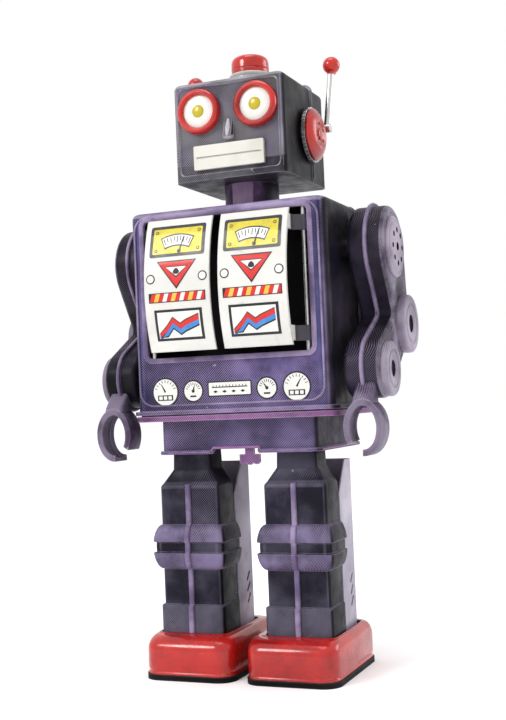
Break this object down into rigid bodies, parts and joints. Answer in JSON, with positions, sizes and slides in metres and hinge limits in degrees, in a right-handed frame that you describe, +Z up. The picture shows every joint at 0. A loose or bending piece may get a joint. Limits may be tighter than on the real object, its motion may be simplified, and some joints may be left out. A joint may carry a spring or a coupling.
{
  "type": "wind-up tin robot",
  "caption": "Boxy walking tin robot with bowed chest doors, goggle eyes, hinged arms and antennas, legs on rollers and a clockwork with a butterfly key at the back.",
  "frame": {"origin": "on the ground, in the middle of the robot's footprint", "axes": "+Z up, -Y the way the robot faces, +X its own left-hand side"},
  "size_m": [0.116, 0.087, 0.236],
  "materials": {
    "body_tin": "lithographed tinplate, slate purple",
    "base_tin": "painted tinplate, lilac pink",
    "tray_black": "painted tinplate, black",
    "head_tin": "painted tinplate, grey purple",
    "door_tin": "lithographed tinplate, off-white",
    "leg_tin": "painted tinplate, dark slate",
    "arm_tin": "painted tinplate, lilac grey",
    "shoe_red": "enamelled tinplate, red",
    "sole_black": "blackened steel",
    "roller_rubber": "matt",
    "red_plastic": "gloss red",
    "eye_white": "white",
    "pupil_yellow": "olive yellow",
    "bright_steel": "bright",
    "motor_steel": "zinc plated",
    "spring_steel": "blued spring steel",
    "wheel_brass": "stamped brass"
  },
  "bodies": {
    "body": {"torso_front_shell": "body_tin", "torso_rear_shell": "body_tin", "chest_tray": "tray_black", "hinge_rods": "bright_steel", "base_plate": "base_tin", "skirt": "body_tin", "shoulder_shaft": "bright_steel", "hip_shaft": "bright_steel", "motor_plate_front": "motor_steel", "motor_plate_rear": "motor_steel", "motor_pillars": "motor_steel", "mainspring": "spring_steel"},
    "head": {"head_front_shell": "head_tin", "head_rear_shell": "head_tin", "mouth_plate": "door_tin", "eye_bezels": "red_plastic", "eye_discs": "eye_white", "eye_pupils": "pupil_yellow", "lamp_base": "eye_white", "top_lamp": "red_plastic", "neck_tube": "body_tin"},
    "winding": {"winding_arbor": "motor_steel", "great_wheel": "wheel_brass", "winding_key": "bright_steel"},
    "second_train": {"second_arbor": "motor_steel", "crown_wheel": "wheel_brass"},
    "crank": {"crankshaft": "motor_steel"},
    "stop": {"stop_lever": "base_tin"},
    "arm_left": {"arm_inner_shell_left": "arm_tin", "arm_outer_shell_left": "arm_tin", "shoulder_disc_left": "arm_tin", "elbow_disc_left": "arm_tin", "wrist_disc_left": "arm_tin", "hand_left": "arm_tin"},
    "leg_left": {"leg_front_shell_left": "leg_tin", "leg_rear_shell_left": "leg_tin", "leg_lever_left": "motor_steel", "shoe_left": "shoe_red", "sole_plate_left": "sole_black"},
    "roller_left": {"roller_left": "roller_rubber"},
    "door_left": {"door_left": "door_tin"},
    "antenna_left": {"ear_dish_left": "red_plastic", "antenna_rod_left": "bright_steel", "antenna_ball_left": "red_plastic"},
    "arm_right": {"arm_inner_shell_right": "arm_tin", "arm_outer_shell_right": "arm_tin", "shoulder_disc_right": "arm_tin", "elbow_disc_right": "arm_tin", "wrist_disc_right": "arm_tin", "hand_right": "arm_tin"},
    "leg_right": {"leg_front_shell_right": "leg_tin", "leg_rear_shell_right": "leg_tin", "leg_lever_right": "motor_steel", "shoe_right": "shoe_red", "sole_plate_right": "sole_black"},
    "roller_right": {"roller_right": "roller_rubber"},
    "door_right": {"door_right": "door_tin"},
    "antenna_right": {"ear_dish_right": "red_plastic", "antenna_rod_right": "bright_steel", "antenna_ball_right": "red_plastic"}
  },
  "joints": [
    {"name": "key_turn", "type": "hinge", "parent": "body", "child": "winding", "pos_m": [0, 0, 0.132], "axis": [0, 1, 0], "continuous": true},
    {"name": "second_turn", "type": "hinge", "parent": "body", "child": "second_train", "pos_m": [0, 0, 0.108], "axis": [0, 1, 0], "continuous": true},
    {"name": "crank_turn", "type": "hinge", "parent": "body", "child": "crank", "pos_m": [0, -0.0115, 0.108], "axis": [1, 0, 0], "continuous": true},
    {"name": "head_turn", "type": "hinge", "parent": "body", "child": "head", "pos_m": [0, -0.003, 0.178], "axis": [0, 0, 1], "range_deg": [-45, 45]},
    {"name": "stop_slide", "type": "slide", "parent": "body", "child": "stop", "axis": [-1, 0, 0], "range_m": [0, 0.006]},
    {"name": "arm_swing_left", "type": "hinge", "parent": "body", "child": "arm_left", "pos_m": [0.0485, -0.001, 0.156], "axis": [1, 0, 0], "range_deg": [-110, 25]},
    {"name": "leg_swing_left", "type": "hinge", "parent": "body", "child": "leg_left", "pos_m": [0.021, -0.0115, 0.088], "axis": [1, 0, 0], "range_deg": [-7, 7]},
    {"name": "roller_turn_left", "type": "hinge", "parent": "leg_left", "child": "roller_left", "pos_m": [0.02, -0.008, 0.0044], "axis": [1, 0, 0], "continuous": true},
    {"name": "door_swing_left", "type": "hinge", "parent": "body", "child": "door_left", "pos_m": [0.0307, -0.0314, 0.145], "axis": [0, 0, 1], "range_deg": [0, 70]},
    {"name": "antenna_turn_left", "type": "hinge", "parent": "head", "child": "antenna_left", "pos_m": [0.025, 0.0005, 0.202], "axis": [1, 0, 0], "range_deg": [-55, 35]},
    {"name": "arm_swing_right", "type": "hinge", "parent": "body", "child": "arm_right", "pos_m": [-0.0485, -0.001, 0.156], "axis": [1, 0, 0], "range_deg": [-110, 25]},
    {"name": "leg_swing_right", "type": "hinge", "parent": "body", "child": "leg_right", "pos_m": [-0.021, -0.0115, 0.088], "axis": [1, 0, 0], "range_deg": [-7, 7]},
    {"name": "roller_turn_right", "type": "hinge", "parent": "leg_right", "child": "roller_right", "pos_m": [-0.02, -0.008, 0.0044], "axis": [1, 0, 0], "continuous": true},
    {"name": "door_swing_right", "type": "hinge", "parent": "body", "child": "door_right", "pos_m": [-0.0307, -0.0314, 0.145], "axis": [0, 0, -1], "range_deg": [0, 70]},
    {"name": "antenna_turn_right", "type": "hinge", "parent": "head", "child": "antenna_right", "pos_m": [-0.025, 0.0005, 0.202], "axis": [1, 0, 0], "range_deg": [-55, 35]}
  ],
  "couplings": [
    {"joint": "second_turn", "follows": "key_turn", "ratio": -4},
    {"joint": "crank_turn", "follows": "key_turn", "ratio": 9.6},
    {"joint": "leg_swing_right", "follows": "leg_swing_left", "ratio": -1}
  ]
}
